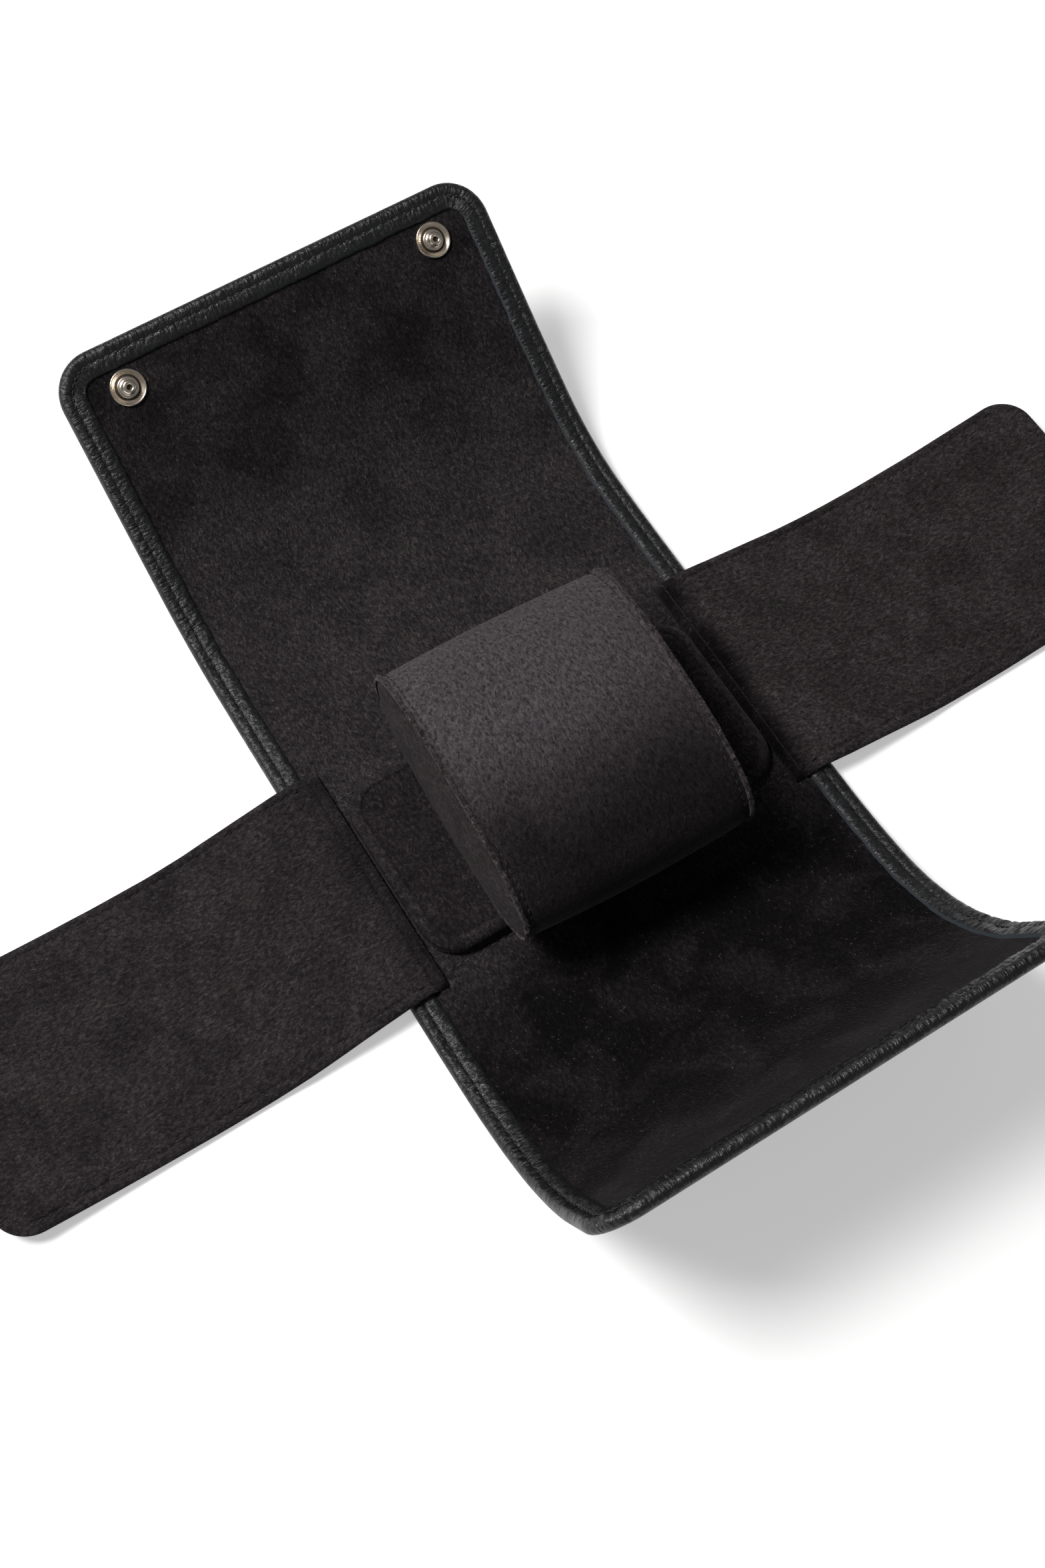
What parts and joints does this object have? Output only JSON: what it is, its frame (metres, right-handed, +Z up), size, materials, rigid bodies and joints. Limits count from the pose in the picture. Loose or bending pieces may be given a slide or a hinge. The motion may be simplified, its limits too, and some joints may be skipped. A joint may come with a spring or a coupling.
{
  "type": "watch roll",
  "caption": "Leather roll that folds up round a removable pillow for a wristwatch, lined in microsuede, with side flaps over the watch and press studs that hold it shut.",
  "frame": {"origin": "the middle of the flat base's underside, where the open roll rests on a table", "axes": "+Z up, +Y towards the far flap that carries the studs, +X towards the right side flap"},
  "size_m": [0.3264, 0.2486, 0.0629],
  "materials": {
    "leather": "black pebble-grained calf leather with a soft sheen, edges turned and stitched",
    "microsuede": "warm charcoal microsuede with a short brushed nap",
    "board": "plain fibreboard stiffener, inside",
    "foam": "soft foam filling, inside",
    "thread": "waxed black sewing thread",
    "nickel": "bright nickel plating on brass snaps"
  },
  "bodies": {
    "base": {"base_leather": "leather", "base_board": "board", "base_lining": "microsuede", "base_turned_edges": "leather", "base_thread": "thread", "left_root_tape": "microsuede", "right_root_tape": "microsuede", "pad_board": "board", "pad_foam": "foam", "pad_cover": "microsuede"},
    "far_wall": {"far_wall_leather": "leather", "far_wall_board": "board", "far_wall_lining": "microsuede", "far_wall_turned_edges": "leather", "far_wall_thread": "thread"},
    "far_shoulder": {"far_shoulder_leather": "leather", "far_shoulder_lining": "microsuede", "far_shoulder_turned_edges": "leather", "far_shoulder_thread": "thread"},
    "far_top": {"far_top_leather": "leather", "far_top_board": "board", "far_top_lining": "microsuede", "far_top_turned_edge": "leather", "far_top_thread": "thread", "far_studs": "nickel", "far_stud_backs": "nickel"},
    "near_wall": {"near_wall_leather": "leather", "near_wall_board": "board", "near_wall_lining": "microsuede", "near_wall_turned_edges": "leather", "near_wall_thread": "thread"},
    "near_shoulder": {"near_shoulder_leather": "leather", "near_shoulder_lining": "microsuede", "near_shoulder_turned_edges": "leather", "near_shoulder_thread": "thread"},
    "near_top": {"near_top_leather": "leather", "near_top_board": "board", "near_top_lining": "microsuede", "near_top_turned_edge": "leather", "near_top_thread": "thread", "near_sockets": "nickel", "near_socket_backs": "nickel"},
    "left_wall": {"left_wall_upper_suede": "microsuede", "left_wall_lower_suede": "microsuede", "left_wall_thread": "thread"},
    "left_top": {"left_top_upper_suede": "microsuede", "left_top_lower_suede": "microsuede", "left_top_thread": "thread"},
    "right_wall": {"right_wall_upper_suede": "microsuede", "right_wall_lower_suede": "microsuede", "right_wall_thread": "thread"},
    "right_top": {"right_top_upper_suede": "microsuede", "right_top_lower_suede": "microsuede", "right_top_thread": "thread"},
    "pillow": {"pillow_core": "foam", "pillow_band": "microsuede", "pillow_left_side": "microsuede", "pillow_right_side": "microsuede", "pillow_seam_thread": "thread"}
  },
  "joints": [
    {"name": "far_flap_fold", "type": "hinge", "parent": "base", "child": "far_wall", "pos_m": [0, 0.0365, 0.0011], "axis": [1, 0, 0], "range_deg": [0, 76]},
    {"name": "far_shoulder_bend", "type": "hinge", "parent": "far_wall", "child": "far_shoulder", "pos_m": [0, 0.08822, 0.01041], "axis": [1, 0, 0], "range_deg": [0, 27]},
    {"name": "far_top_bend", "type": "hinge", "parent": "far_shoulder", "child": "far_top", "pos_m": [0, 0.10136, 0.01954], "axis": [1, 0, 0], "range_deg": [0, 39]},
    {"name": "near_flap_fold", "type": "hinge", "parent": "base", "child": "near_wall", "pos_m": [0, -0.0365, 0.0011], "axis": [-1, 0, 0], "range_deg": [0, 67]},
    {"name": "near_shoulder_bend", "type": "hinge", "parent": "near_wall", "child": "near_shoulder", "pos_m": [0, -0.08017, 0.01247], "axis": [-1, 0, 0], "range_deg": [0, 23]},
    {"name": "near_top_bend", "type": "hinge", "parent": "near_shoulder", "child": "near_top", "pos_m": [0, -0.09101, 0.02416], "axis": [-1, 0, 0], "range_deg": [0, 22]},
    {"name": "left_flap_fold", "type": "hinge", "parent": "base", "child": "left_wall", "pos_m": [-0.0525, 0, 0.0051], "axis": [0, 1, 0], "range_deg": [0, 114]},
    {"name": "left_top_bend", "type": "hinge", "parent": "left_wall", "child": "left_top", "pos_m": [-0.09163, 0, 0.00195], "axis": [0, 1, 0], "range_deg": [0, 62]},
    {"name": "right_flap_fold", "type": "hinge", "parent": "base", "child": "right_wall", "pos_m": [0.0525, 0, 0.0051], "axis": [0, -1, 0], "range_deg": [0, 114]},
    {"name": "right_top_bend", "type": "hinge", "parent": "right_wall", "child": "right_top", "pos_m": [0.09571, 0, 0.00155], "axis": [0, -1, 0], "range_deg": [0, 62]},
    {"name": "pillow_lift", "type": "slide", "parent": "base", "child": "pillow", "axis": [0, 0, -1], "range_m": [-0.06, 0]}
  ],
  "couplings": [
    {"joint": "far_shoulder_bend", "follows": "far_flap_fold", "ratio": 0.35526},
    {"joint": "far_top_bend", "follows": "far_flap_fold", "ratio": 0.51316},
    {"joint": "near_shoulder_bend", "follows": "near_flap_fold", "ratio": 0.34328},
    {"joint": "near_top_bend", "follows": "near_flap_fold", "ratio": 0.32836},
    {"joint": "left_top_bend", "follows": "left_flap_fold", "ratio": 0.54386},
    {"joint": "right_top_bend", "follows": "right_flap_fold", "ratio": 0.54386}
  ]
}
